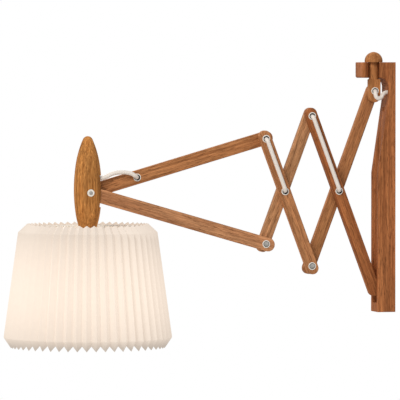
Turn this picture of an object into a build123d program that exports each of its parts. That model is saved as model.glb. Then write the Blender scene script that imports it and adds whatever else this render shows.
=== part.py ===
"""Accordion wall lamp: oak scissor arm, hook-on swivel peg, turned spindle and pleated shade.

Frame: X = 0 is the wall, the lamp reaches out towards -X, Z is up, and the origin is the middle
of the wall board's back face. All sizes are in millimetres. The near side of the arm is at -Y.
"""

import os
from math import acos, asin, atan, cos, degrees, pi, radians, sin, sqrt, tan

from build123d import *

# ------------------------------------------------------------------ driving sizes
# wall board
board_height = 416.0
board_width = 42.0
board_depth = 30.0
throat_depth = 11.5          # wood left behind the peg
throat_foot_height = 150.0   # height where the slope below the throat begins
slope_foot_height = 24.0     # height where the slope ends in the full depth
throat_arch_radius = 15.0
nose_length = 57.5           # from the wall
nose_height = 26.0
board_edge_round = 1.5
nose_corner_round = 3.3
nose_top_round = 1.6

# swivel peg and the hook that carries it
swivel_to_wall = 32.0
knob_radius = 15.0
knob_rim_height = 2.0
neck_radius = 8.0
neck_play = 0.06
hook_mouth_wall_side = 27.8  # distance of the mouth's two edges from the wall
hook_mouth_lamp_side = 52.7
peg_seat_gap = 0.1
tongue_end_below_pivot = 18.7
tongue_shoulder_round = 1.5
tongue_arch_play = 0.25      # least gap to the throat's arch when the peg swivels

# slide groove for the lower tip of the arm
groove_radius = 13.5
groove_foot_margin = 15.0    # from the groove's foot to the board's foot

# screw holes and cord hole in the board
screw_spacing = 260.0
screw_hole_radius = 2.6
screw_head_radius = 5.2
cord_hole_side = 9.5
cord_hole_height = 158.0
cord_hole_play = 0.6

# scissor arm
bar_thickness = 11.5
bar_gap = 1.5                # between the near and the far bars, filled by washers
bar_width = 20.0
lamp_bar_width = 22.5
bar_edge_round = 1.2
bar_end_beyond = 4.0         # from a pivot to the centre of the bar's round end
near_bar_offset = -2.5       # middle of the near bars, from the swivel axis
peg_pivot_height = 160.0
wall_half_length = 177.0     # pivot to tip or peg, on the bars at the wall
scissor_half_length = 133.0  # sides of the diamond
lamp_stub_length = 93.0      # middle pivot to lamp bar pivot
lamp_bar_length = 312.5
rest_angle = 20.5            # of the crossed bars, from upright
fold_angle = 15.0            # most folded
reach_angle = 55.0           # most extended

# hollow pivot bushes, their washers and pins
bush_bore_radius = 4.1
bush_tube_radius = 5.0
bush_flange_radius = 6.4
bush_flange_thickness = 0.9
bush_mouth_bevel = 0.8
bush_rim_bevel = 0.3
running_play = 0.05
flange_play = 0.1
washer_radius = 9.0
washer_play = 0.1
pin_dome_height = 0.5
eyelet_from_lamp = 87.0      # cord eyelet on the upper lamp bar

# cord
cord_radius = 3.5
cord_stand_off = 5.15        # cord middle to bar face
cord_bend_radius = 6.0

# turned spindle
spindle_radius = 22.9
spindle_waist_rise = 4.0     # heights are from the head pin
spindle_shoulder_radius = 20.0
spindle_shoulder_rise = 45.0
spindle_nose_radius = 7.9    # where the rounded tip begins
spindle_nose_rise = 87.5
spindle_hip_radius = 19.6
spindle_hip_drop = 37.0
spindle_foot_drop = 66.0
spindle_foot_radius = 10.8
slot_top_rise = 28.0
slot_foot_drop = 24.0
slot_back_play = 1.1
head_pin_radius = 2.5
head_pin_head_radius = 2.9
head_pin_head_height = 1.2
head_pin_head_bevel = 0.6
head_washer_radius = 10.5
side_washer_thickness = 0.8
spindle_flange_radius = 5.9
spotface_depth = 0.6
spindle_bush_length = 8.0
spindle_bush_tube_radius = 4.0
tunnel_play = 0.9

# lampholder
nipple_radius = 5.0
nipple_bore_radius = 4.1
nipple_grip = 12.0           # length inside the spindle
nipple_below = 11.0
holder_cap_height = 18.0
holder_wall = 2.5
holder_radius = 19.5
holder_length = 42.0
holder_shoulder_radius = 24.0
holder_shoulder_drop = 23.0
holder_shoulder_thickness = 3.0
carrier_hub_thickness = 1.5
carrier_hub_radius = 30.0
shade_ring_radius = 27.0
shade_ring_thickness = 5.0
contact_block_height = 10.0
screw_shell_radius = 14.8
screw_shell_wall = 1.3
screw_shell_length = 25.0
bulb_cap_play = 0.15
bulb_cap_length = 26.0
bulb_contact_radius = 4.0
bulb_globe_radius = 30.0
bulb_length = 105.0
bulb_neck_length = 5.0
bulb_wall = 1.0

# pleated shade: radii are of the outer folds, drops are from the head pin
pleat_count = 52
shade_top_radius = 99.5
shade_top_drop = 51.0
shade_shoulder_radius = 114.4
shade_shoulder_drop = 65.0
shade_widest_radius = 138.3
shade_widest_drop = 237.5
shade_foot_radius = 127.0
shade_foot_drop = 254.0
pleat_depth = 10.0           # at the widest level
top_notch = 4.0              # how much lower the inner folds end at the top
foot_notch = 9.0             # how much higher the inner folds end at the foot
shade_wall = 1.3             # measured towards the axis
carrier_wire_radius = 1.75
carrier_arm_radius = 1.5
carrier_arm_count = 3
hub_rim = 1.0                # how far the arms reach in over the hub's edge
carrier_ring_drop = 58.0
carrier_bite = 0.15          # how far the wire ring presses into the inner folds

# ------------------------------------------------------------------ worked-out places
half_height = board_height / 2
half_width = board_width / 2
nose_foot = half_height - nose_height
near_y = near_bar_offset
far_y = near_y + bar_thickness + bar_gap
middle_y = (near_y + far_y) / 2
near_face = near_y - bar_thickness / 2
far_face = far_y + bar_thickness / 2
stack_half = (far_face - near_face) / 2
swivel_x = -swivel_to_wall
# how far below the nose the throat's arch hangs where the swivelling tongue's corner passes it
tongue_sweep = sqrt((bar_width / 2) ** 2 + (bar_thickness / 2 - near_bar_offset) ** 2)
arch_drop = throat_arch_radius - sqrt(
    throat_arch_radius ** 2 - (throat_depth + throat_arch_radius - swivel_to_wall + tongue_sweep) ** 2)

sin_rest = sin(radians(rest_angle))
cos_rest = cos(radians(rest_angle))
peg_pivot = (swivel_x, peg_pivot_height)
inner_pivot = (swivel_x - wall_half_length * sin_rest,
               peg_pivot_height - wall_half_length * cos_rest)
tip_point = (swivel_x, peg_pivot_height - 2 * wall_half_length * cos_rest)
upper_pivot = (inner_pivot[0] - scissor_half_length * sin_rest,
               inner_pivot[1] + scissor_half_length * cos_rest)
lower_pivot = (upper_pivot[0], inner_pivot[1] - scissor_half_length * cos_rest)
outer_pivot = (inner_pivot[0] - 2 * scissor_half_length * sin_rest, inner_pivot[1])
upper_lamp_pivot = (outer_pivot[0] - lamp_stub_length * sin_rest,
                    outer_pivot[1] + lamp_stub_length * cos_rest)
lower_lamp_pivot = (upper_lamp_pivot[0], outer_pivot[1] - lamp_stub_length * cos_rest)


def lamp_bar_angle(angle):
    """Slope of the two lamp bars when the crossed bars stand at this angle from upright."""
    return degrees(asin(lamp_stub_length * cos(radians(angle)) / lamp_bar_length))


rest_slope = radians(lamp_bar_angle(rest_angle))
head_pivot = (upper_lamp_pivot[0] - lamp_bar_length * cos(rest_slope), outer_pivot[1])
head_x, head_z = head_pivot
# share of the fold's turn that levels the lamp bars, and the play that it leaves at the head pin
level_share = (lamp_bar_angle(fold_angle) - lamp_bar_angle(reach_angle)) / (reach_angle - fold_angle)
level_errors = [abs(lamp_bar_angle(rest_angle) - level_share * (angle - rest_angle)
                    - lamp_bar_angle(angle)) for angle in range(int(fold_angle), int(reach_angle) + 1)]
pin_slot_travel = 4 * lamp_bar_length * sin(radians(max(level_errors)))
# how far the pin wanders sideways in its slot as the lower lamp bar turns
pin_slot_drift = pin_slot_travel / 2 * sin(radians(level_share * (reach_angle - rest_angle)))
eyelet_point = (head_x + eyelet_from_lamp * cos(rest_slope),
                head_z + eyelet_from_lamp * sin(rest_slope))

os.makedirs("parts", exist_ok=True)
cord_report = []


def save(part, name):
    """Label a finished piece and write it under its own name."""
    part.label = name
    export_step(part, f"parts/{name}.step")


def side_plane(point, y, direction=(1, 0)):
    """A plane facing the near side at a pivot, with its X axis along a bar."""
    return Plane(origin=(point[0], y, point[1]), x_dir=(direction[0], 0, direction[1]),
                 z_dir=(0, -1, 0))


def unit(start, end):
    """Direction and distance from one pivot to another."""
    length = sqrt((end[0] - start[0]) ** 2 + (end[1] - start[1]) ** 2)
    return ((end[0] - start[0]) / length, (end[1] - start[1]) / length), length


def arm_bar(start, end, y, width, beyond, holes):
    """An oak bar with round ends; holes lists (distance from start, radius)."""
    direction, length = unit(start, end)
    plane = side_plane(start, y, direction)
    with BuildPart() as bar:
        with BuildSketch(plane):
            with Locations(((length + beyond[1] - beyond[0]) / 2, 0)):
                SlotCenterToCenter(length + beyond[0] + beyond[1], width)
        extrude(amount=bar_thickness / 2, both=True)
        fillet(bar.faces().filter_by(Axis.Y).edges(), bar_edge_round)
        with Locations(plane):
            for distance, radius in holes:
                with Locations((distance, 0)):
                    Hole(radius)
    return bar.part


def pivot_bush(point, front, back, bore=bush_bore_radius, tube=bush_tube_radius):
    """A hollow rivet with a rolled flange outside each face; front and back are the faces' Y."""
    with BuildPart() as bush:
        with Locations(side_plane(point, (front + back) / 2)):
            Cylinder(tube, back - front)
        for face, side in ((front, Align.MIN), (back, Align.MAX)):
            with Locations(side_plane(point, face)):
                Cylinder(bush_flange_radius, bush_flange_thickness, align=(Align.CENTER, Align.CENTER, side))
        with Locations(side_plane(point, (front + back) / 2)):
            Hole(bore)
        ends = bush.faces().filter_by(Axis.Y).sort_by(Axis.Y)
        for end in (ends[0], ends[-1]):
            chamfer(end.edges().sort_by(SortBy.RADIUS)[0], bush_mouth_bevel)
        ends = bush.faces().filter_by(Axis.Y).sort_by(Axis.Y)
        for end in (ends[0], ends[-1]):
            chamfer(end.edges().sort_by(SortBy.RADIUS)[-1], bush_rim_bevel)
    return bush.part


def pivot_washer(point, bore, radius=washer_radius):
    """A flat ring in the gap between a near and a far bar."""
    with BuildPart() as washer:
        with Locations(side_plane(point, middle_y)):
            Cylinder(radius, bar_gap - 2 * washer_play)
            Hole(bore)
    return washer.part


def pivot_pin(point, front, back):
    """A solid steel pin that fills a bush, with slightly domed ends."""
    dome = (bush_bore_radius ** 2 + pin_dome_height ** 2) / (2 * pin_dome_height)
    bulge = sqrt(dome ** 2 - (bush_bore_radius / 2) ** 2) - (dome - pin_dome_height)
    with BuildPart() as pin:
        with BuildSketch(Plane.YZ.offset(point[0])):
            with BuildLine():
                axis_z, half_z = point[1], point[1] + bush_bore_radius / 2
                top_z = point[1] + bush_bore_radius
                front_end, back_end = front - pin_dome_height, back + pin_dome_height
                Line((front_end, axis_z), (back_end, axis_z))
                ThreePointArc((back_end, axis_z), (back + bulge, half_z), (back, top_z))
                Line((back, top_z), (front, top_z))
                ThreePointArc((front, top_z), (front - bulge, half_z), (front_end, axis_z))
            make_face()
        revolve(axis=Axis((point[0], 0, point[1]), (0, 1, 0)))
    return pin.part


def cord_tube(name, points, radii, radius=cord_radius):
    """A round cord along straight runs joined by tangent arcs."""
    with BuildPart() as tube:
        with BuildLine() as route:
            FilletPolyline(*points, radius=radii)
        start = route.line @ 0
        with BuildSketch(Plane(origin=start, z_dir=route.line % 0)):
            Circle(radius)
        sweep()
    length = sum(edge.length for edge in route.edges())
    share = tube.part.volume / (pi * radius ** 2 * length)
    cord_report.append((name, radii, round(length, 1), round(share, 4)))
    return tube.part


def bar_cord(name, start, end, outside, start_y=None):
    """A cord pulled tight along a bar's face, from the middle of one bush to the next."""
    first_y = middle_y if start_y is None else start_y
    points = [(start[0], first_y, start[1]), (start[0], outside, start[1]),
              (end[0], outside, end[1]), (end[0], middle_y, end[1])]
    return cord_tube(name, points, [cord_bend_radius, cord_bend_radius])


# ------------------------------------------------------------------ wall board
with BuildPart() as wall_board:
    with BuildSketch(Plane.XZ.offset(-half_width)):
        with BuildLine():
            arch_x = -throat_depth - throat_arch_radius
            arch_z = nose_foot - throat_arch_radius
            Polyline((-throat_depth, arch_z), (-throat_depth, throat_foot_height),
                     (-board_depth, slope_foot_height), (-board_depth, -half_height),
                     (0, -half_height), (0, half_height), (-nose_length, half_height),
                     (-nose_length, nose_foot), (arch_x, nose_foot))
            RadiusArc((arch_x, nose_foot), (-throat_depth, arch_z), throat_arch_radius)
        make_face()
    extrude(amount=board_width)
    nose_corners = wall_board.edges().filter_by(Axis.Y).filter_by_position(
        Axis.X, -nose_length - 0.1, -nose_length + 0.1).sort_by(Axis.Z)
    fillet(nose_corners[0], nose_corner_round)
    fillet(nose_corners[-1], nose_top_round)
    outline = wall_board.faces().filter_by(Axis.Y).edges()
    fillet(outline.filter_by(lambda edge: edge.center().X < -throat_depth / 2), board_edge_round)
    # hook: a seat round the peg's neck, flaring to a mouth in the near side
    with BuildSketch(Plane.XY.offset(nose_foot - 1)) as hook:
        with Locations((swivel_x, 0)):
            Circle(neck_radius + neck_play)
        with BuildLine():
            seat = neck_radius + neck_play
            Polyline((swivel_x - seat, 0), (swivel_x + seat, 0),
                     (-hook_mouth_wall_side, -half_width - 1),
                     (-hook_mouth_lamp_side, -half_width - 1), close=True)
        make_face()
    extrude(amount=nose_height + 2, mode=Mode.SUBTRACT)
    # round groove that the arm's lower tip slides and swivels in
    groove_foot = -half_height + groove_foot_margin
    with Locations((swivel_x, 0, groove_foot)):
        Cylinder(groove_radius, throat_foot_height - groove_foot - groove_radius,
                 align=(Align.CENTER, Align.CENTER, Align.MIN), mode=Mode.SUBTRACT)
    # countersunk screw holes and the cord's way through to the wall
    slope = (board_depth - throat_depth) / (throat_foot_height - slope_foot_height)
    upper_face = throat_depth + slope * (throat_foot_height - screw_spacing / 2)
    lower_face = swivel_to_wall - sqrt(groove_radius ** 2 - screw_head_radius ** 2)
    for face, height in ((upper_face, screw_spacing / 2), (lower_face, -screw_spacing / 2)):
        with Locations(Plane(origin=(-face, 0, height), z_dir=(-1, 0, 0))):
            CounterSinkHole(screw_hole_radius, screw_head_radius)
    with Locations(Plane(origin=(-throat_depth, -cord_hole_side, cord_hole_height), z_dir=(-1, 0, 0))):
        Hole(cord_radius + cord_hole_play)
save(wall_board.part, "wall_board")

# ------------------------------------------------------------------ swivel peg
with BuildPart() as swivel_peg:
    # flat tongue below the nose, in the plane of the near bars
    tongue_top = nose_foot - arch_drop - tongue_arch_play
    tongue_foot = peg_pivot_height - tongue_end_below_pivot
    with BuildSketch(side_plane((swivel_x, 0), near_y)) as tongue:
        with BuildLine():
            half = bar_width / 2
            Polyline((-half, tongue_foot + half), (-half, tongue_top), (half, tongue_top),
                     (half, tongue_foot + half))
            ThreePointArc((half, tongue_foot + half), (0, tongue_foot), (-half, tongue_foot + half))
        make_face()
        fillet(tongue.vertices().sort_by(Axis.Y)[-2:], tongue_shoulder_round)
    extrude(amount=bar_thickness / 2, both=True)
    fillet(swivel_peg.faces().filter_by(Axis.Y).edges().filter_by(
        lambda edge: edge.center().Z < tongue_top - 1), bar_edge_round)
    # round neck through the hook and the domed knob that rests on the nose
    with BuildSketch(Plane.XZ):
        with BuildLine():
            knob_foot = half_height + peg_seat_gap
            crown = knob_foot + knob_rim_height
            Polyline((swivel_x, tongue_top - 1), (swivel_x + neck_radius, tongue_top - 1),
                     (swivel_x + neck_radius, knob_foot), (swivel_x + knob_radius, knob_foot),
                     (swivel_x + knob_radius, crown))
            CenterArc((swivel_x, crown), knob_radius, 0, 90)
            Line((swivel_x, crown + knob_radius), (swivel_x, tongue_top - 1))
        make_face()
    revolve(axis=Axis((swivel_x, 0, 0), (0, 0, 1)))
    with Locations(side_plane(peg_pivot, near_y)):
        Hole(bush_tube_radius)
save(swivel_peg.part, "swivel_peg")

# ------------------------------------------------------------------ scissor bars
fixed = bush_tube_radius
turning = bush_tube_radius + running_play
plain_ends = (bar_end_beyond, bar_end_beyond)
wall_bar_length = wall_half_length + scissor_half_length
stub_bar_length = 2 * scissor_half_length + lamp_stub_length

inner_rear_bar = arm_bar(peg_pivot, lower_pivot, far_y, bar_width, (0, bar_end_beyond),
                         [(0, turning), (wall_half_length, fixed), (wall_bar_length, fixed)])
save(inner_rear_bar, "inner_rear_bar")
inner_front_bar = arm_bar(tip_point, upper_pivot, near_y, bar_width, (0, bar_end_beyond),
                          [(wall_half_length, turning), (wall_bar_length, fixed)])
save(inner_front_bar, "inner_front_bar")
outer_rear_bar = arm_bar(upper_pivot, lower_lamp_pivot, far_y, bar_width, plain_ends,
                         [(0, turning), (scissor_half_length, turning),
                          (scissor_half_length + lamp_stub_length, fixed)])
save(outer_rear_bar, "outer_rear_bar")
outer_front_bar = arm_bar(lower_pivot, upper_lamp_pivot, near_y, bar_width, plain_ends,
                          [(0, turning), (scissor_half_length, fixed),
                           (scissor_half_length + lamp_stub_length, fixed)])
save(outer_front_bar, "outer_front_bar")
upper_lamp_bar = arm_bar(head_pivot, upper_lamp_pivot, far_y, lamp_bar_width, (0, bar_end_beyond),
                         [(0, head_pin_radius + running_play), (eyelet_from_lamp, fixed),
                          (lamp_bar_length, turning)])
save(upper_lamp_bar, "upper_lamp_bar")

# the lower lamp bar takes the head pin in a short upright slot, hidden inside the spindle
with BuildPart() as lower_lamp_bar:
    add(arm_bar(head_pivot, lower_lamp_pivot, near_y, lamp_bar_width, (0, bar_end_beyond),
                [(lamp_bar_length, turning)]))
    slot_width = 2 * (head_pin_radius + pin_slot_drift + 2 * running_play)
    with BuildSketch(side_plane(head_pivot, near_face - 1, (0, 1))):
        SlotCenterToCenter(pin_slot_travel, slot_width)
    extrude(amount=-bar_thickness - 2, mode=Mode.SUBTRACT)
save(lower_lamp_bar.part, "lower_lamp_bar")

# ------------------------------------------------------------------ pivots
stack = (near_face - flange_play / 2, far_face + flange_play / 2)
bush_places = {"peg_bush": peg_pivot, "inner_bush": inner_pivot, "lower_bush": lower_pivot,
               "upper_bush": upper_pivot, "outer_bush": outer_pivot,
               "upper_lamp_bush": upper_lamp_pivot, "lower_lamp_bush": lower_lamp_pivot}
for name, place in bush_places.items():
    save(pivot_bush(place, *stack), name)
    save(pivot_washer(place, turning), name.replace("bush", "washer"))
for name, place in (("lower_pin", lower_pivot), ("lower_lamp_pin", lower_lamp_pivot)):
    save(pivot_pin(place, stack[0] - bush_flange_thickness, stack[1] + bush_flange_thickness), name)
save(pivot_bush(eyelet_point, far_y - bar_thickness / 2, far_face), "cord_eyelet")

# ------------------------------------------------------------------ turned spindle
spindle_plane = side_plane(head_pivot, middle_y)
head_cord_y = -1.8
head_route = [(head_x, middle_y, head_z - spindle_foot_drop - nipple_below),
              (head_x, middle_y, head_z - 44),
              (head_x - 15.9, 0, head_z - 18),
              (head_x - 15.9, 0, head_z + 12),
              (head_x - 6, head_cord_y, head_z + 20),
              (head_x + 9, head_cord_y, head_z + 21.5)]
head_radii = [34, 26, 10, 14]
with BuildPart() as spindle:
    with BuildSketch(Plane.XZ.offset(-middle_y)):
        with BuildLine():
            foot = head_z - spindle_foot_drop
            waist = (head_x + spindle_radius, head_z + spindle_waist_rise)
            body = TangentArc(waist, (head_x + spindle_shoulder_radius, head_z + spindle_shoulder_rise),
                              tangent=(0, 1))
            taper = TangentArc(body @ 1, (head_x + spindle_nose_radius, head_z + spindle_nose_rise),
                               tangent=body % 1)
            lean = taper % 1
            nose_sphere = spindle_nose_radius / lean.Y
            tip = (taper @ 1).Y + spindle_nose_radius * lean.X / lean.Y + nose_sphere
            RadiusArc(taper @ 1, (head_x, tip), -nose_sphere)
            belly = TangentArc(waist, (head_x + spindle_hip_radius, head_z - spindle_hip_drop),
                               tangent=(0, -1))
            TangentArc(belly @ 1, (head_x + spindle_foot_radius, foot), tangent=belly % 1)
            Polyline((head_x, tip), (head_x, foot), (head_x + spindle_foot_radius, foot))
        make_face()
    revolve(axis=Axis((head_x, middle_y, 0), (0, 0, 1)))
    # slot for the two lamp bars, open towards the wall
    slot_back = lamp_bar_width / 2 + slot_back_play
    with BuildSketch(spindle_plane):
        with Locations(((spindle_radius + 1 - slot_back) / 2, (slot_top_rise - slot_foot_drop) / 2)):
            RectangleRounded(spindle_radius + 1 + slot_back, slot_top_rise + slot_foot_drop, 3)
        with Locations((spindle_radius, (slot_top_rise - slot_foot_drop) / 2)):
            Rectangle(8, slot_top_rise + slot_foot_drop)
    slot_half = stack_half + side_washer_thickness + 2 * washer_play
    extrude(amount=slot_half, both=True, mode=Mode.SUBTRACT)
    # head pin hole with a small flat seat for each bush flange
    with Locations(spindle_plane):
        Hole(spindle_bush_tube_radius)
        for side in (-1, 1):
            with Locations((0, 0, side * (spindle_radius - spotface_depth))):
                Cylinder(spindle_flange_radius + 0.2, 4, mode=Mode.SUBTRACT,
                         align=(Align.CENTER, Align.CENTER, Align.MIN if side > 0 else Align.MAX))
    # threaded hole in the foot
    with Locations((head_x, middle_y, foot)):
        Cylinder(nipple_radius, nipple_grip, mode=Mode.SUBTRACT,
                 align=(Align.CENTER, Align.CENTER, Align.MIN))
    # tunnel that the cord climbs behind the bars' ends
    with BuildLine():
        FilletPolyline(*head_route, radius=head_radii)
    with BuildSketch(Plane(origin=head_route[0], z_dir=(0, 0, 1))):
        Circle(cord_radius + tunnel_play)
    sweep(mode=Mode.SUBTRACT)
save(spindle.part, "spindle")

# head pin with its two flanged bushes in the spindle's cheeks
seat_half = spindle_radius - spotface_depth
for name, side in (("spindle_front_bush", 1), ("spindle_rear_bush", -1)):
    with BuildPart() as spindle_bush:
        with Locations(spindle_plane.offset(side * seat_half)):
            Cylinder(spindle_flange_radius, bush_flange_thickness,
                     align=(Align.CENTER, Align.CENTER, Align.MIN if side > 0 else Align.MAX))
            Cylinder(spindle_bush_tube_radius, spindle_bush_length,
                     align=(Align.CENTER, Align.CENTER, Align.MAX if side > 0 else Align.MIN))
            Hole(head_pin_radius + running_play)
    save(spindle_bush.part, name)

pin_half = seat_half + bush_flange_thickness + flange_play
with BuildPart() as head_pin:
    with Locations(spindle_plane):
        Cylinder(head_pin_radius, 2 * pin_half)
    for side in (-1, 1):
        head_align = Align.MIN if side > 0 else Align.MAX
        with Locations(spindle_plane.offset(side * pin_half)):
            Cylinder(head_pin_head_radius, head_pin_head_height,
                     align=(Align.CENTER, Align.CENTER, head_align))
    chamfer(head_pin.edges().filter_by(GeomType.CIRCLE).sort_by(Axis.Y)[0], head_pin_head_bevel)
    chamfer(head_pin.edges().filter_by(GeomType.CIRCLE).sort_by(Axis.Y)[-1], head_pin_head_bevel)
save(head_pin.part, "head_pin")
save(pivot_washer(head_pivot, head_pin_radius, head_washer_radius), "head_washer")

# thin washers that keep the bars off the slot's cheeks
for name, side in (("head_front_washer", 1), ("head_rear_washer", -1)):
    with BuildPart() as side_washer:
        with Locations(spindle_plane.offset(side * (stack_half + washer_play + side_washer_thickness / 2))):
            Cylinder(head_washer_radius, side_washer_thickness)
            Hole(head_pin_radius)
    save(side_washer.part, name)

# ------------------------------------------------------------------ lampholder
cap_top = foot
cap_foot = cap_top - holder_cap_height
holder_foot = cap_foot - holder_length
shoulder_foot = cap_foot - holder_shoulder_drop
block_top = cap_foot - holder_wall
block_foot = block_top - contact_block_height


def turned(name, profile, arcs=()):
    """Revolve a profile of (radius, height) points round the lamp's upright axis."""
    with BuildPart() as piece:
        with BuildSketch(Plane.XZ.offset(-middle_y)):
            with BuildLine():
                Polyline(*[(head_x + radius, height) for radius, height in profile], close=True)
            make_face()
        revolve(axis=Axis((head_x, middle_y, 0), (0, 0, 1)))
    return piece.part


save(turned("threaded_tube", [
    (nipple_bore_radius, foot + nipple_grip), (nipple_radius, foot + nipple_grip),
    (nipple_radius, foot - nipple_below), (nipple_bore_radius, foot - nipple_below)]), "threaded_tube")

with BuildPart() as holder_cap:
    with BuildSketch(Plane.XZ.offset(-middle_y)):
        with BuildLine():
            cap_shoulder = (head_x + holder_radius, cap_foot + 0.45 * holder_cap_height)
            cap_crown = (head_x + spindle_foot_radius, cap_top)
            Line((head_x + nipple_radius, cap_top), cap_crown)
            RadiusArc(cap_crown, cap_shoulder, 14)
            Polyline(cap_shoulder, (head_x + holder_radius, cap_foot),
                     (head_x + holder_radius - holder_wall, cap_foot),
                     (head_x + holder_radius - holder_wall, cap_shoulder[1] - 1),
                     (head_x + spindle_foot_radius, cap_top - 2 * holder_wall),
                     (head_x + nipple_radius, cap_top - 2 * holder_wall),
                     (head_x + nipple_radius, cap_top))
        make_face()
    revolve(axis=Axis((head_x, middle_y, 0), (0, 0, 1)))
save(holder_cap.part, "holder_cap")

inner_holder = holder_radius - holder_wall
save(turned("lampholder", [
    (nipple_radius, cap_foot), (holder_radius, cap_foot),
    (holder_radius, shoulder_foot + holder_shoulder_thickness),
    (holder_shoulder_radius, shoulder_foot + holder_shoulder_thickness),
    (holder_shoulder_radius, shoulder_foot), (holder_radius, shoulder_foot),
    (holder_radius, holder_foot), (inner_holder, holder_foot),
    (inner_holder, block_top), (nipple_radius, block_top)]), "lampholder")
hub_foot = shoulder_foot - carrier_hub_thickness
save(turned("shade_ring", [
    (holder_radius, hub_foot), (shade_ring_radius, hub_foot),
    (shade_ring_radius, hub_foot - shade_ring_thickness),
    (holder_radius, hub_foot - shade_ring_thickness)]), "shade_ring")
save(turned("contact_block", [
    (0, block_top), (inner_holder, block_top), (inner_holder, block_foot), (0, block_foot)]),
    "contact_block")
shell_inner = screw_shell_radius - screw_shell_wall
save(turned("screw_shell", [
    (shell_inner, block_foot), (screw_shell_radius, block_foot),
    (screw_shell_radius, block_foot - screw_shell_length),
    (shell_inner, block_foot - screw_shell_length)]), "screw_shell")
cap_radius = shell_inner - bulb_cap_play
cap_end = block_foot - bulb_cap_length
save(turned("bulb_cap", [
    (0, block_foot), (bulb_contact_radius, block_foot), (cap_radius, block_foot - 4),
    (cap_radius, cap_end), (0, cap_end)]), "bulb_cap")


def bulb_outline(inset):
    """Half outline of the bulb's glass, drawn smaller by the wall for its inside."""
    globe_z = block_foot - bulb_length + bulb_globe_radius
    globe = bulb_globe_radius - inset
    neck = cap_radius - inset
    neck_foot = cap_end - bulb_neck_length
    # the straight flank leaves the neck's foot and touches the globe
    reach = sqrt(neck ** 2 + (neck_foot - globe_z) ** 2)
    touch = atan((neck_foot - globe_z) / neck) - acos(globe / reach)
    with BuildSketch(Plane.XZ.offset(-middle_y), mode=Mode.PRIVATE) as outline:
        with BuildLine():
            flank_end = (head_x + globe * cos(touch), globe_z + globe * sin(touch))
            Polyline((head_x, cap_end), (head_x + neck, cap_end), (head_x + neck, neck_foot), flank_end)
            ThreePointArc(flank_end, (head_x + globe * cos(radians(30)),
                          globe_z - globe * sin(radians(30))), (head_x, globe_z - globe))
            Line((head_x, globe_z - globe), (head_x, cap_end))
        make_face()
    return outline.sketch


with BuildPart() as bulb_glass:
    revolve(bulb_outline(0), axis=Axis((head_x, middle_y, 0), (0, 0, 1)))
    revolve(bulb_outline(bulb_wall), axis=Axis((head_x, middle_y, 0), (0, 0, 1)), mode=Mode.SUBTRACT)
save(bulb_glass.part, "bulb_glass")

# ------------------------------------------------------------------ pleated shade
valley_share = 1 - pleat_depth / shade_widest_radius
wall_share = 1 - shade_wall / shade_widest_radius
top_apex = shade_shoulder_drop - shade_shoulder_radius * (shade_shoulder_drop - shade_top_drop) / (
    shade_shoulder_radius - shade_top_radius)
foot_apex = shade_widest_drop + shade_widest_radius * (shade_foot_drop - shade_widest_drop) / (
    shade_widest_radius - shade_foot_radius)


def valley_end(level_radius, level_drop, apex, drop):
    """Where an inner fold ends, on the line to the point of the axis that its outer folds aim at."""
    return (valley_share * level_radius * (drop - apex) / (level_drop - apex), drop)


ridge_line = [(shade_top_radius, shade_top_drop), (shade_shoulder_radius, shade_shoulder_drop),
              (shade_widest_radius, shade_widest_drop), (shade_foot_radius, shade_foot_drop)]
valley_line = [valley_end(shade_shoulder_radius, shade_shoulder_drop, top_apex,
                          shade_top_drop + top_notch),
               (valley_share * shade_shoulder_radius, shade_shoulder_drop),
               (valley_share * shade_widest_radius, shade_widest_drop),
               valley_end(shade_widest_radius, shade_widest_drop, foot_apex,
                          shade_foot_drop - foot_notch)]


def fold_point(index, level, share=1.0):
    """Corner of the folded sheet: even indexes are outer folds, odd ones inner folds."""
    radius, drop = (ridge_line if index % 2 == 0 else valley_line)[level]
    angle = pi * index / pleat_count
    return Vector(head_x + share * radius * cos(angle), middle_y + share * radius * sin(angle),
                  head_z - drop)


panels = []
for index in range(2 * pleat_count):
    for level in range(len(ridge_line) - 1):
        for share in (1.0, wall_share):
            panels.append(Face(Wire.make_polygon([
                fold_point(index, level, share), fold_point(index + 1, level, share),
                fold_point(index + 1, level + 1, share), fold_point(index, level + 1, share)])))
    for level in (0, len(ridge_line) - 1):
        outer_a, outer_b = fold_point(index, level), fold_point(index + 1, level)
        inner_a = fold_point(index, level, wall_share)
        inner_b = fold_point(index + 1, level, wall_share)
        panels.append(Face(Wire.make_polygon([outer_a, outer_b, inner_b])))
        panels.append(Face(Wire.make_polygon([outer_a, inner_b, inner_a])))
with BuildPart() as pleated_shade:
    add(Solid(Shell(panels)))
save(pleated_shade.part, "pleated_shade")

# wire carrier: a ring inside the shade's folded-in collar, arms, and a hub on the lampholder
collar_share = (carrier_ring_drop - shade_top_drop - top_notch) / (
    shade_shoulder_drop - shade_top_drop - top_notch)
collar_radius = valley_line[0][0] + collar_share * (valley_line[1][0] - valley_line[0][0])
collar_rise = valley_line[1][1] - valley_line[0][1]
collar_slant = sqrt(collar_rise ** 2 + (valley_line[1][0] - valley_line[0][0]) ** 2)
ring_radius = wall_share * collar_radius - (carrier_wire_radius - carrier_bite) * (
    collar_slant / collar_rise)
ring_z = head_z - carrier_ring_drop
hub_z = (shoulder_foot + hub_foot) / 2
with BuildPart() as carrier_ring:
    with Locations((head_x, middle_y, ring_z)):
        Torus(ring_radius, carrier_wire_radius)
save(carrier_ring.part, "carrier_ring")
with BuildPart() as carrier_hub:
    with Locations((head_x, middle_y, hub_z)):
        Cylinder(carrier_hub_radius, carrier_hub_thickness)
        Cylinder(holder_radius, carrier_hub_thickness, mode=Mode.SUBTRACT)
save(carrier_hub.part, "carrier_hub")
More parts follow.
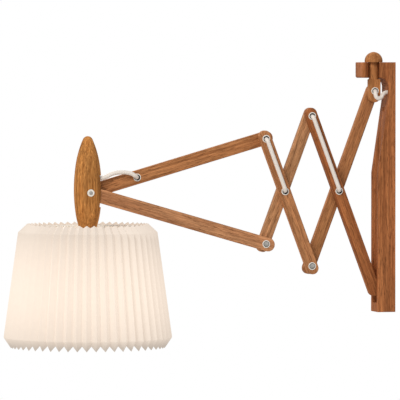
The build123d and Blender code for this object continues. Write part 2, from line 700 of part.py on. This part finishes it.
# arms bent from wire, welded to the hub and the ring
for turn in range(carrier_arm_count):
    angle = radians(60 + 360 * turn / carrier_arm_count)
    along = Vector(cos(angle), sin(angle), 0)
    centre = Vector(head_x, middle_y, hub_z)
    arm_points = [centre + along * (carrier_hub_radius - hub_rim),
                  centre + along * 44,
                  centre + along * 80 + Vector(0, 0, 0.55 * (ring_z - hub_z)),
                  centre + along * ring_radius + Vector(0, 0, ring_z - hub_z)]
    with BuildPart() as carrier_arm:
        with BuildLine() as arm_line:
            FilletPolyline(*arm_points, radius=[20, 20])
        with BuildSketch(Plane(origin=arm_line.line @ 0, z_dir=arm_line.line % 0)):
            Circle(carrier_arm_radius)
        sweep()
        add(carrier_hub.part, mode=Mode.SUBTRACT)
        add(carrier_ring.part, mode=Mode.SUBTRACT)
    save(carrier_arm.part, f"carrier_arm_{turn + 1}")

# ------------------------------------------------------------------ cord
near_cord_y = near_face - cord_stand_off
far_cord_y = far_face + cord_stand_off
save(bar_cord("cord_behind_lamp_bar", eyelet_point, upper_lamp_pivot, far_cord_y, far_y),
     "cord_behind_lamp_bar")
save(bar_cord("cord_on_outer_bar", upper_lamp_pivot, outer_pivot, near_cord_y), "cord_on_outer_bar")
save(bar_cord("cord_behind_outer_bar", outer_pivot, upper_pivot, far_cord_y), "cord_behind_outer_bar")
save(bar_cord("cord_on_inner_bar", upper_pivot, inner_pivot, near_cord_y), "cord_on_inner_bar")
save(bar_cord("cord_behind_inner_bar", inner_pivot, peg_pivot, far_cord_y), "cord_behind_inner_bar")
save(cord_tube("cord_in_spindle", head_route, head_radii), "cord_in_spindle")

# free arc from the spindle's slot over the upper lamp bar to its eyelet
eye_x, eye_z = eyelet_point
arc_route = [head_route[-1],
             (head_x + 25, head_cord_y, head_z + 23.1),
             (head_x + 43, head_cord_y, head_z + 33.1),
             (eye_x - 14.5, head_cord_y, head_z + 33.1),
             (eye_x, head_cord_y, eye_z),
             (eye_x, far_y, eye_z)]
arc_radii = [26, 26, 20, 5]
save(cord_tube("cord_arc", arc_route, arc_radii), "cord_arc")

# free loop from the peg's bush round to the hole in the throat
loop_route = [(swivel_x, middle_y, peg_pivot_height),
              (swivel_x, -7.5, peg_pivot_height),
              (swivel_x - 0.1, -13, peg_pivot_height - 0.1),
              (swivel_x - 2, -17, peg_pivot_height - 4.5),
              (swivel_x - 0.5, -17.5, peg_pivot_height - 11),
              (swivel_x + 7, -16, peg_pivot_height - 13),
              (-throat_depth - 5, -cord_hole_side, cord_hole_height),
              (-throat_depth, -cord_hole_side, cord_hole_height)]
loop_radii = [60, 6, 5.5, 4.9, 5.2, 5.2]
save(cord_tube("cord_loop", loop_route, loop_radii), "cord_loop")
with BuildPart(Plane(origin=(-throat_depth, -cord_hole_side, cord_hole_height),
                     z_dir=(1, 0, 0))) as cord_in_board:
    Cylinder(cord_radius, throat_depth, align=(Align.CENTER, Align.CENTER, Align.MIN))
save(cord_in_board.part, "cord_in_board")

for name, radii, length, share in cord_report:
    print(f"{name}: arc radii {radii} mm, length {length} mm, volume / (section x length) {share}")
print(f"spindle tip {tip - head_z:.2f} above the pin, tongue {nose_foot - tongue_top:.2f} below the nose")
print(f"rest slope {degrees(rest_slope):.3f}, level share {level_share:.5f}, slot {pin_slot_travel:.2f}")
for name, place in {**bush_places, "head_pivot": head_pivot, "tip": tip_point,
                    "eyelet": eyelet_point}.items():
    print(name, [round(value, 3) for value in place])
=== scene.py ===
import math
import bpy
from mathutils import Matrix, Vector


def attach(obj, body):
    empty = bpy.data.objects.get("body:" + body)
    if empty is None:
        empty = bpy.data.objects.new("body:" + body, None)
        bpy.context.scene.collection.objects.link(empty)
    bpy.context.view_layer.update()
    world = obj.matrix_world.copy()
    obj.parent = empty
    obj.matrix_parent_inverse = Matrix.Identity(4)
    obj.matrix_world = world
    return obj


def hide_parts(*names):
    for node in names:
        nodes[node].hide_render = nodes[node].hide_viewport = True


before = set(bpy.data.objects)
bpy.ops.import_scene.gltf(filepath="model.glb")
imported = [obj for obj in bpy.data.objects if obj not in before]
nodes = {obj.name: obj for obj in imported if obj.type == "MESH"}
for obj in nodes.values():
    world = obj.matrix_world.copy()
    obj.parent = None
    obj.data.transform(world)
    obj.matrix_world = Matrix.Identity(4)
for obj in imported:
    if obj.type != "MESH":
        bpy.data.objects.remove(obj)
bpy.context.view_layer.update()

# ---------------------------------------------------------------- room and camera
# A long lens seven metres away, a little to the lamp's side of square-on and a little above it.
# The floor is far below, since the lamp hangs on a wall, and the backdrop is plain white.
LOOK_AT = Vector((-0.33075, 0.0, -0.0193))
LENS_DISTANCE = 7.0
camera_turn, camera_rise = math.radians(14.5), math.radians(1.8)
sight = Vector((math.sin(camera_turn) * math.cos(camera_rise),
                math.cos(camera_turn) * math.cos(camera_rise), -math.sin(camera_rise)))
camera_data = bpy.data.cameras.new("camera")
SENSOR_WIDTH, FOCAL_PIXELS, PICTURE_PIXELS = 36.0, 4242, 400
camera_data.sensor_width = SENSOR_WIDTH
camera_data.lens = SENSOR_WIDTH * FOCAL_PIXELS / PICTURE_PIXELS
camera_data.clip_end = 60.0
camera = bpy.data.objects.new("camera", camera_data)
camera.location = LOOK_AT - LENS_DISTANCE * sight
camera.rotation_euler = sight.to_track_quat("-Z", "Y").to_euler()
bpy.context.collection.objects.link(camera)
bpy.context.scene.camera = camera
bpy.context.scene.view_settings.view_transform = "Standard"


def srgb(hex_code):
    """An sRGB hex colour as the linear colour that shaders take."""
    channels = [int(hex_code[i:i + 2], 16) / 255 for i in (1, 3, 5)]
    return [c / 12.92 if c <= 0.04045 else ((c + 0.055) / 1.055) ** 2.4 for c in channels] + [1.0]


def add_node(owner, kind, inputs=None, **settings):
    """Adds a shader node with its settings. An input given as a socket is linked, any other is set."""
    tree = owner.node_tree
    made = tree.nodes.new(kind)
    for name, value in settings.items():
        setattr(made, name, value)
    for name, value in (inputs or {}).items():
        if isinstance(value, bpy.types.NodeSocket):
            tree.links.new(value, made.inputs[name])
        else:
            made.inputs[name].default_value = value
    return made


def new_surface(name):
    """A material with an empty tree, its Principled shader and its output."""
    material = bpy.data.materials.new(name)
    material.use_nodes = True
    material.node_tree.nodes.clear()
    shader = add_node(material, "ShaderNodeBsdfPrincipled")
    add_node(material, "ShaderNodeOutputMaterial", {"Surface": shader.outputs[0]})
    return material, shader


def area_lamp(name, place, size, power, colour):
    """A soft square lamp that faces the middle of the object."""
    data = bpy.data.lights.new(name, "AREA")
    data.size, data.energy, data.color = size, power, srgb(colour)[:3]
    lamp = bpy.data.objects.new(name, data)
    lamp.location = place
    lamp.rotation_euler = (LOOK_AT - lamp.location).to_track_quat("-Z", "Y").to_euler()
    bpy.context.collection.objects.link(lamp)


area_lamp("key", (-2.2, -2.1, 2.2), 1.2, 74, "#fffaf3")
area_lamp("fill", (1.6, -2.6, 0.3), 2.2, 6, "#ffffff")
area_lamp("back", (-0.6, 2.2, 1.4), 2.0, 22, "#ffffff")

world = bpy.data.worlds.new("studio")
world.use_nodes = True
world.node_tree.nodes.clear()
ray = add_node(world, "ShaderNodeLightPath")
seen = add_node(world, "ShaderNodeMath", {0: ray.outputs["Is Camera Ray"],
                                          1: ray.outputs["Is Glossy Ray"]}, operation="MAXIMUM")
seen = add_node(world, "ShaderNodeMath", {0: seen.outputs[0], 1: ray.outputs["Is Transmission Ray"]},
                operation="MAXIMUM")
strength = add_node(world, "ShaderNodeMapRange", {"Value": seen.outputs[0], "To Min": 0.42, "To Max": 1.0})
sky = add_node(world, "ShaderNodeBackground", {"Color": srgb("#ffffff"), "Strength": strength.outputs[0]})
add_node(world, "ShaderNodeOutputWorld", {"Surface": sky.outputs[0]})
bpy.context.scene.world = world

floor_surface, floor_shader = new_surface("pale_floor")
floor_shader.inputs["Base Color"].default_value = srgb("#efede9")
floor_shader.inputs["Roughness"].default_value = 0.9
bpy.ops.mesh.primitive_plane_add(size=7.0, location=(-0.3, 0.0, -1.15))
floor = bpy.context.object
floor.name = "floor"
floor.data.materials.append(floor_surface)

# ---------------------------------------------------------------- flex
# Round PVC mains flex, 7 mm thick, off-white and satin. It is threaded through the hollow bushes:
# out at the front, along a near bar, in at the next bush, and behind a far bar to the one after.
FLEX_THICK = 0.007
SWIVEL_X, LAYER_GAP_Y = -0.032, 0.004
BUSH = {"peg": (SWIVEL_X, 0.160), "inner": (-0.0939867, -0.0057909), "upper": (-0.1405643, 0.1187861),
        "outer": (-0.1871419, -0.0057909), "lamp": (-0.2197114, 0.0813203),
        "eyelet": (-0.436273, 0.018461)}
HEAD_X, HEAD_Z = -0.5198237, -0.0057909
NEAR_Y, FAR_Y = -0.0134, 0.0214
# the pull draws the flex this far off a bush's axis, so its skin sinks 0.4 mm into the bore's side
PULLED_ASIDE = 0.0010
# how far an elbow's curve reaches along the bar and into the bush
ELBOW_ALONG, ELBOW_IN = 0.012, 0.010

pvc, pvc_shader = new_surface("pvc_flex")
# extruded PVC: a satin skin with a faint orange peel, a touch yellowed where hands pull it
coords = add_node(pvc, "ShaderNodeTexCoord")
mottle = add_node(pvc, "ShaderNodeTexNoise", {"Vector": coords.outputs["Object"], "Scale": 90.0,
                                              "Detail": 3.0})
tint = add_node(pvc, "ShaderNodeMix", {"Factor": mottle.outputs["Fac"], 6: srgb("#e6ddd4"),
                                       7: srgb("#f0e9e2")}, data_type="RGBA")
peel = add_node(pvc, "ShaderNodeTexNoise", {"Vector": coords.outputs["Object"], "Scale": 900.0})
skin = add_node(pvc, "ShaderNodeBump", {"Height": peel.outputs["Fac"], "Strength": 0.08, "Distance": 0.0002})
pvc.node_tree.links.new(tint.outputs[2], pvc_shader.inputs["Base Color"])
pvc.node_tree.links.new(skin.outputs[0], pvc_shader.inputs["Normal"])
pvc_shader.inputs["Roughness"].default_value = 0.42
pvc_shader.inputs["IOR"].default_value = 1.53


def flex(name, points, body, node):
    """A length of flex along one smooth line, riding on a body in place of its CAD tube."""
    curve = bpy.data.curves.new(name, "CURVE")
    curve.dimensions = "3D"
    curve.bevel_depth = FLEX_THICK / 2
    curve.bevel_resolution = 5
    line = curve.splines.new("NURBS")
    line.points.add(len(points) - 1)
    for knot, point in zip(line.points, points):
        knot.co = (*point, 1.0)
    line.order_u = 3
    line.use_endpoint_u = True
    line.resolution_u = 10
    curve.materials.append(pvc)
    piece = bpy.data.objects.new(name, curve)
    bpy.context.collection.objects.link(piece)
    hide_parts(node)
    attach(piece, body)
    return piece


def bar_route(start, end, side_y, first_y=LAYER_GAP_Y):
    """Points of a length pulled along a bar's face from one bush to the next."""
    (x0, z0), (x1, z1) = BUSH[start], BUSH[end]
    reach = math.hypot(x1 - x0, z1 - z0)
    dx, dz = (x1 - x0) / reach, (z1 - z0) / reach
    x0, z0, x1, z1 = (x0 + PULLED_ASIDE * dx, z0 + PULLED_ASIDE * dz,
                      x1 - PULLED_ASIDE * dx, z1 - PULLED_ASIDE * dz)
    inner_y = side_y + math.copysign(ELBOW_IN, LAYER_GAP_Y - side_y)
    return [(x0, first_y, z0), (x0, inner_y, z0), (x0, side_y, z0),
            (x0 + ELBOW_ALONG * dx, side_y, z0 + ELBOW_ALONG * dz),
            (x1 - ELBOW_ALONG * dx, side_y, z1 - ELBOW_ALONG * dz),
            (x1, side_y, z1), (x1, inner_y, z1), (x1, LAYER_GAP_Y, z1)]


# middle of the far bars, where the eyelet takes over from the free arc
FAR_BAR_Y = 0.0105
flex("flex_behind_lamp_bar", bar_route("eyelet", "lamp", FAR_Y, FAR_BAR_Y), "upper_lamp_bar",
     "cord_behind_lamp_bar")
flex("flex_on_outer_bar", bar_route("lamp", "outer", NEAR_Y), "outer_front_bar", "cord_on_outer_bar")
flex("flex_behind_outer_bar", bar_route("outer", "upper", FAR_Y), "outer_rear_bar", "cord_behind_outer_bar")
flex("flex_on_inner_bar", bar_route("upper", "inner", NEAR_Y), "inner_front_bar", "cord_on_inner_bar")
flex("flex_behind_inner_bar", bar_route("inner", "peg", FAR_Y), "inner_rear_bar", "cord_behind_inner_bar")

# the free arc runs from the spindle's slot over the upper lamp bar and down to its eyelet
ARC_Y, ARC_PEAK_Z = -0.0018, HEAD_Z + 0.0331
EYE_X, EYE_Z = BUSH["eyelet"]
arc_points = [(HEAD_X + 0.009, ARC_Y, HEAD_Z + 0.0215), (HEAD_X + 0.025, ARC_Y, HEAD_Z + 0.0231),
              (HEAD_X + 0.043, ARC_Y, ARC_PEAK_Z), (EYE_X - 0.0145, ARC_Y, ARC_PEAK_Z),
              (EYE_X, ARC_Y, EYE_Z), (EYE_X, FAR_BAR_Y, EYE_Z)]
arc = flex("flex_arc", arc_points, "lamp_head", "cord_arc")

# the free loop curls once from the peg's bush to the cord hole in the board
PEG_X, PEG_Z = BUSH["peg"]
HOLE_X, HOLE_Y, HOLE_Z = -0.0115, -0.0095, 0.158
loop_points = [(PEG_X, LAYER_GAP_Y, PEG_Z), (PEG_X, -0.0075, PEG_Z),
               (PEG_X - 0.0001, -0.013, PEG_Z - 0.0001), (PEG_X - 0.002, -0.017, PEG_Z - 0.0045),
               (PEG_X - 0.0005, -0.0175, PEG_Z - 0.011), (PEG_X + 0.007, -0.016, PEG_Z - 0.013),
               (HOLE_X - 0.005, HOLE_Y, HOLE_Z), (HOLE_X, HOLE_Y, HOLE_Z)]
loop = flex("flex_loop", loop_points, "swivel_peg", "cord_loop")
for hidden in ("cord_in_spindle", "cord_in_board"):
    nodes[hidden].data.materials.clear()
    nodes[hidden].data.materials.append(pvc)


# ---------------------------------------------------------------- oak board, bars and peg
# Solid oak, sawn, moulded and sanded, then wiped with oil. The board is one length with the hook,
# throat and groove cut into it, and the bars are sawn strips with rounded ends.
def oiled_oak(name, along, early, late, pore, seed):
    """Oiled oak with its grain along one direction in the XZ plane. Sizes are in metres."""
    material, shader = new_surface(name)
    lean = (0.0, -math.atan2(along[1], along[0]), 0.0)
    place = add_node(material, "ShaderNodeTexCoord").outputs["Object"]
    # every piece is cut from its own place in the pattern, 0.37 m from the last one's
    own_place = seed * 0.37

    def grain(size, shift):
        """Object coordinates counted in grain-sized cells, long along the piece."""
        values = {"Vector": place, "Location": (shift, own_place, shift), "Rotation": lean, "Scale": size}
        return add_node(material, "ShaderNodeMapping", values, vector_type="TEXTURE").outputs[0]

    def noise(size, shift, detail, **settings):
        """Noise drawn out along the grain."""
        values = {"Vector": grain(size, shift), "Scale": 1.0, "Detail": detail, **settings}
        return add_node(material, "ShaderNodeTexNoise", values).outputs["Fac"]

    def spread(value, low, high, to_low, to_high):
        """The value's range from low to high stretched to another one."""
        limits = {"Value": value, "From Min": low, "From Max": high, "To Min": to_low, "To Max": to_high}
        return add_node(material, "ShaderNodeMapRange", limits).outputs[0]

    # growth rings about 4 mm apart that wander along the length, and broad darker bands
    rings = noise((0.26, 0.0042, 0.0042), 0.0, 4.0, Roughness=0.7, Distortion=0.35)
    bands = noise((0.42, 0.013, 0.013), 0.1, 2.0, Distortion=0.5)
    streaks = noise((0.035, 0.0013, 0.0013), 0.3, 2.0)
    # open pores: dark dashes 12 mm long and 0.8 mm wide, about three times life, so that they show
    pores = noise((0.012, 0.0008, 0.0008), 0.2, 2.0)
    wood = add_node(material, "ShaderNodeMix", {"Factor": spread(rings, 0.36, 0.64, 0.0, 1.0),
                                                6: srgb(early), 7: srgb(late)},
                    data_type="RGBA").outputs[2]
    for tone in (spread(bands, 0.3, 0.7, 0.72, 1.26), spread(streaks, 0.3, 0.7, 0.74, 1.24)):
        wood = add_node(material, "ShaderNodeVectorMath", {0: wood, "Scale": tone},
                        operation="SCALE").outputs[0]
    pore_mask = spread(pores, 0.54, 0.68, 0.0, 0.75)
    wood = add_node(material, "ShaderNodeMix", {"Factor": pore_mask, 6: wood, 7: srgb(pore)},
                    data_type="RGBA").outputs[2]
    open_grain = add_node(material, "ShaderNodeBump", {"Height": pore_mask, "Strength": 0.35,
                                                       "Distance": 0.0003}, invert=True)
    links = material.node_tree.links
    links.new(wood, shader.inputs["Base Color"])
    links.new(open_grain.outputs[0], shader.inputs["Normal"])
    links.new(spread(rings, 0.0, 1.0, 0.6, 0.76), shader.inputs["Roughness"])
    shader.inputs["IOR"].default_value = 1.5
    shader.inputs["Specular IOR Level"].default_value = 0.08
    return material


def finish_node(name, material):
    """Gives a CAD piece its finish."""
    nodes[name].data.materials.clear()
    nodes[name].data.materials.append(material)


finish_node("wall_board", oiled_oak("oak_board", (0, 1), "#b67447", "#955732", "#54301b", 1))
finish_node("swivel_peg", oiled_oak("oak_peg", (0, 1), "#c48653", "#a0663b", "#62391f", 2))
lean_x, lean_z = math.sin(math.radians(20.5)), math.cos(math.radians(20.5))
lamp_lean = math.radians(16.186)
# the bars at the wall are given darker, redder colours than the bars towards the lamp
bars = {"inner_rear_bar": ((lean_x, lean_z), "#bf8455", "#9e6641", 3),
        "inner_front_bar": ((-lean_x, lean_z), "#bb7647", "#985934", 4),
        "outer_rear_bar": ((lean_x, lean_z), "#d69d70", "#b38058", 5),
        "outer_front_bar": ((-lean_x, lean_z), "#cb8f60", "#a8704a", 6),
        "upper_lamp_bar": ((math.cos(lamp_lean), math.sin(lamp_lean)), "#c48758", "#a2673e", 7),
        "lower_lamp_bar": ((math.cos(lamp_lean), -math.sin(lamp_lean)), "#cc946a", "#ab744f", 8)}
for bar, (along, early, late, seed) in bars.items():
    finish_node(bar, oiled_oak("oak_" + bar, along, early, late, "#62391f", seed))

# ---------------------------------------------------------------- turned spindle
# Oak turned between centres: the growth layers run up through it, so the lathe cuts them into
# long ovals. It is the most golden wood on the lamp.
finish_node("spindle", oiled_oak("oak_spindle", (0, 1), "#d39352", "#a46934", "#5f3a1b", 9))

# ---------------------------------------------------------------- bushes, eyelet and pins
# Hollow rivets of white acetal with a rolled flange on each face. The two lower pivots and the head
# hold solid steel pins. Thin clear washers keep the bars apart, and the head pin has steel ones.

# painted shade: a bush's bore is painted dark out to the edge of its bevel, fading over the next 0.3 mm
BORE_SHADE_RADIUS, BORE_SHADE_BLUR = 0.0048, 0.0003


def acetal(name, centre):
    """White acetal for one bush, with painted shade in the bore that runs through its centre (X, Z)."""
    # moulded acetal: a soft gloss over a faintly clouded white
    material, shader = new_surface(name)
    place = add_node(material, "ShaderNodeTexCoord").outputs["Object"]
    cloud = add_node(material, "ShaderNodeTexNoise", {"Vector": place, "Scale": 260.0, "Detail": 2.0})
    white = add_node(material, "ShaderNodeMix", {"Factor": cloud.outputs["Fac"], 6: srgb("#e6e2da"),
                                                 7: srgb("#f4f1eb")}, data_type="RGBA")
    flat = add_node(material, "ShaderNodeVectorMath", {0: place, 1: (1.0, 0.0, 1.0)}, operation="MULTIPLY")
    away = add_node(material, "ShaderNodeVectorMath", {0: flat.outputs[0], 1: (centre[0], 0.0, centre[1])},
                    operation="DISTANCE")
    # painted shade: inside the bore the white is painted near-black, where light hardly reaches
    limits = {"Value": away.outputs["Value"], "From Min": BORE_SHADE_RADIUS,
              "From Max": BORE_SHADE_RADIUS + BORE_SHADE_BLUR, "To Min": 1.0, "To Max": 0.0}
    painted_bore_shade = add_node(material, "ShaderNodeMapRange", limits)
    colour = add_node(material, "ShaderNodeMix", {"Factor": painted_bore_shade.outputs[0], 6: white.outputs[2],
                                                  7: srgb("#17110d")}, data_type="RGBA")
    material.node_tree.links.new(colour.outputs[2], shader.inputs["Base Color"])
    shader.inputs["Roughness"].default_value = 0.32
    shader.inputs["IOR"].default_value = 1.48
    return material


steel, steel_shader = new_surface("turned_steel")
# turned from bright rod, and rubbed to an uneven polish
coords = add_node(steel, "ShaderNodeTexCoord")
rub = add_node(steel, "ShaderNodeTexNoise", {"Vector": coords.outputs["Object"], "Scale": 1400.0,
                                             "Detail": 2.0})
dull = add_node(steel, "ShaderNodeMapRange", {"Value": rub.outputs["Fac"], "To Min": 0.26, "To Max": 0.44})
steel_shader.inputs["Base Color"].default_value = srgb("#9b9892")
steel_shader.inputs["Metallic"].default_value = 1.0
steel.node_tree.links.new(dull.outputs[0], steel_shader.inputs["Roughness"])

nylon, nylon_shader = new_surface("clear_nylon")
# thin nylon sheet: unpigmented, so it looks milky, with a soft sheen
coords = add_node(nylon, "ShaderNodeTexCoord")
haze = add_node(nylon, "ShaderNodeTexNoise", {"Vector": coords.outputs["Object"], "Scale": 500.0})
milk = add_node(nylon, "ShaderNodeMix", {"Factor": haze.outputs["Fac"], 6: srgb("#cfc9bd"),
                                         7: srgb("#dcd8cf")}, data_type="RGBA")
nylon.node_tree.links.new(milk.outputs[2], nylon_shader.inputs["Base Color"])
nylon_shader.inputs["Roughness"].default_value = 0.5

LOWER_PIVOT, LOWER_LAMP_PIVOT = (-0.1405643, -0.1303679), (-0.2197114, -0.0929021)
pivots = {"peg": BUSH["peg"], "inner": BUSH["inner"], "lower": LOWER_PIVOT, "upper": BUSH["upper"],
          "outer": BUSH["outer"], "upper_lamp": BUSH["lamp"], "lower_lamp": LOWER_LAMP_PIVOT}
for pivot, centre in pivots.items():
    finish_node(pivot + "_bush", acetal("acetal_" + pivot, centre))
    finish_node(pivot + "_washer", nylon)
finish_node("cord_eyelet", acetal("acetal_eyelet", BUSH["eyelet"]))
# the pin fills the head's two bushes, so their painted bore shade is put well clear of them
CLEAR_OF_LAMP = 1.0
for name in ("spindle_front_bush", "spindle_rear_bush"):
    finish_node(name, acetal("acetal_" + name, (HEAD_X, HEAD_Z + CLEAR_OF_LAMP)))
for name in ("lower_pin", "lower_lamp_pin", "head_pin", "head_washer", "head_front_washer",
             "head_rear_washer", "threaded_tube"):
    finish_node(name, steel)

# ---------------------------------------------------------------- lampholder
# White moulded thermoset holder on a threaded tube: a domed cap, a body with a shoulder, a screwed
# ring that clamps the shade carrier, and a brass screw shell on its contact block.
thermoset, thermoset_shader = new_surface("moulded_thermoset")
# pressed in a polished mould: a hard gloss, with an ivory cast that wanders a little
coords = add_node(thermoset, "ShaderNodeTexCoord")
mould = add_node(thermoset, "ShaderNodeTexNoise", {"Vector": coords.outputs["Object"], "Scale": 320.0})
ivory = add_node(thermoset, "ShaderNodeMix", {"Factor": mould.outputs["Fac"], 6: srgb("#e3dfd6"),
                                              7: srgb("#eeebe4")}, data_type="RGBA")
thermoset.node_tree.links.new(ivory.outputs[2], thermoset_shader.inputs["Base Color"])
thermoset_shader.inputs["Roughness"].default_value = 0.28
for name in ("holder_cap", "lampholder", "shade_ring", "contact_block"):
    finish_node(name, thermoset)

brass, brass_shader = new_surface("pressed_brass")
# pressed from bright sheet: a clean shine, with deeper gold where it has begun to tarnish
coords = add_node(brass, "ShaderNodeTexCoord")
tarnish = add_node(brass, "ShaderNodeTexNoise", {"Vector": coords.outputs["Object"], "Scale": 180.0,
                                                 "Detail": 3.0})
gold = add_node(brass, "ShaderNodeMix", {"Factor": tarnish.outputs["Fac"], 6: srgb("#c79a4a"),
                                         7: srgb("#dfbb72")}, data_type="RGBA")
brass.node_tree.links.new(gold.outputs[2], brass_shader.inputs["Base Color"])
brass_shader.inputs["Metallic"].default_value = 1.0
brass_shader.inputs["Roughness"].default_value = 0.3
finish_node("screw_shell", brass)

# ---------------------------------------------------------------- bulb
# A frosted E27 bulb, lit: opal glass on a pressed aluminium cap.
aluminium, aluminium_shader = new_surface("pressed_aluminium")
# pressed from thin sheet: fine scuffs break up its shine
coords = add_node(aluminium, "ShaderNodeTexCoord")
scuff = add_node(aluminium, "ShaderNodeTexNoise", {"Vector": coords.outputs["Object"], "Scale": 700.0})
matt = add_node(aluminium, "ShaderNodeMapRange", {"Value": scuff.outputs["Fac"], "To Min": 0.3,
                                                  "To Max": 0.45})
aluminium_shader.inputs["Base Color"].default_value = srgb("#c9c8c4")
aluminium_shader.inputs["Metallic"].default_value = 1.0
aluminium.node_tree.links.new(matt.outputs[0], aluminium_shader.inputs["Roughness"])
finish_node("bulb_cap", aluminium)

opal, opal_shader = new_surface("opal_glass")
# opal glass spreads the light, so the whole bulb glows almost evenly
coords = add_node(opal, "ShaderNodeTexCoord")
frost = add_node(opal, "ShaderNodeTexNoise", {"Vector": coords.outputs["Object"], "Scale": 60.0})
glow = add_node(opal, "ShaderNodeMix", {"Factor": frost.outputs["Fac"], 6: srgb("#fff1da"),
                                        7: srgb("#fff8ea")}, data_type="RGBA")
opal.node_tree.links.new(glow.outputs[2], opal_shader.inputs["Base Color"])
opal.node_tree.links.new(glow.outputs[2], opal_shader.inputs["Emission Color"])
opal_shader.inputs["Emission Strength"].default_value = 4.0
opal_shader.inputs["Roughness"].default_value = 0.35
finish_node("bulb_glass", opal)

# ---------------------------------------------------------------- shade and its carrier
# One long sheet of white translucent plastic, folded by hand into pleats. The folds are reversed at
# the top and the foot, which turns both collars in. It sits on a white enamelled wire ring.
PLEATS = 52
sheet, sheet_shader = new_surface("folded_plastic_sheet")
# thin white sheet with a lit bulb behind it: its glow is painted on as emission, and each inner fold is
# painted a little darker
place = add_node(sheet, "ShaderNodeTexCoord").outputs["Object"]
centred = add_node(sheet, "ShaderNodeVectorMath", {0: place, 1: (HEAD_X, LAYER_GAP_Y, HEAD_Z)},
                   operation="SUBTRACT").outputs[0]
part = add_node(sheet, "ShaderNodeSeparateXYZ", {0: centred})
turn = add_node(sheet, "ShaderNodeMath", {0: part.outputs["Y"], 1: part.outputs["X"]}, operation="ARCTAN2")
count = add_node(sheet, "ShaderNodeMath", {0: turn.outputs[0], 1: PLEATS / math.pi}, operation="MULTIPLY")
# 0 on an outer fold and 1 on an inner one
fold = add_node(sheet, "ShaderNodeMath", {0: count.outputs[0], 1: 1.0}, operation="PINGPONG")
# the painted glow falls off from the bulb's height towards both collars
# heights on the shade are from the head pin
SHADE_FOOT, SHADE_TOP = -0.255, -0.05
rise = add_node(sheet, "ShaderNodeMapRange", {"Value": part.outputs["Z"], "From Min": SHADE_FOOT,
                                              "From Max": SHADE_TOP, "To Min": -1.05, "To Max": 1.2})
away = add_node(sheet, "ShaderNodeMath", {0: rise.outputs[0], 1: 2.0}, operation="POWER")
light = add_node(sheet, "ShaderNodeMapRange", {"Value": away.outputs[0], "To Min": 0.66, "To Max": 0.49})
# painted shade: the inner folds glow a little less than the outer ones
painted_fold_shade = add_node(sheet, "ShaderNodeMapRange", {"Value": fold.outputs[0], "From Min": 0.6, "To Min": 1.0,
                                                "To Max": 0.95})
light = add_node(sheet, "ShaderNodeMath", {0: light.outputs[0], 1: painted_fold_shade.outputs[0]}, operation="MULTIPLY")
# the foot's collar is two sheets deep, so its painted glow is dimmer there
COLLAR_LOW, COLLAR_HIGH = -0.25, -0.236
collar = add_node(sheet, "ShaderNodeMapRange", {"Value": part.outputs["Z"], "From Min": COLLAR_LOW,
                                                "From Max": COLLAR_HIGH, "To Min": 0.62, "To Max": 1.0})
light = add_node(sheet, "ShaderNodeMath", {0: light.outputs[0], 1: collar.outputs[0]}, operation="MULTIPLY")
web = add_node(sheet, "ShaderNodeTexNoise", {"Vector": place, "Scale": 120.0, "Detail": 4.0})
white = add_node(sheet, "ShaderNodeMix", {"Factor": web.outputs["Fac"], 6: srgb("#96918c"),
                                          7: srgb("#a09b96")}, data_type="RGBA")
links = sheet.node_tree.links
links.new(white.outputs[2], sheet_shader.inputs["Base Color"])
# painted glow: the sheet's emission stands in for the bulb's light shining through it
links.new(light.outputs[0], sheet_shader.inputs["Emission Strength"])
sheet_shader.inputs["Emission Color"].default_value = srgb("#ffebd8")
sheet_shader.inputs["Roughness"].default_value = 0.5
finish_node("pleated_shade", sheet)

enamel, enamel_shader = new_surface("white_enamel")
# enamel sprayed on wire: a glossy white that lies a little unevenly
coords = add_node(enamel, "ShaderNodeTexCoord")
drips = add_node(enamel, "ShaderNodeTexNoise", {"Vector": coords.outputs["Object"], "Scale": 240.0})
coat = add_node(enamel, "ShaderNodeMix", {"Factor": drips.outputs["Fac"], 6: srgb("#e6e3dc"),
                                          7: srgb("#f1efea")}, data_type="RGBA")
enamel.node_tree.links.new(coat.outputs[2], enamel_shader.inputs["Base Color"])
enamel_shader.inputs["Roughness"].default_value = 0.35
for name in ("carrier_hub", "carrier_arm_1", "carrier_arm_2", "carrier_arm_3", "carrier_ring"):
    finish_node(name, enamel)
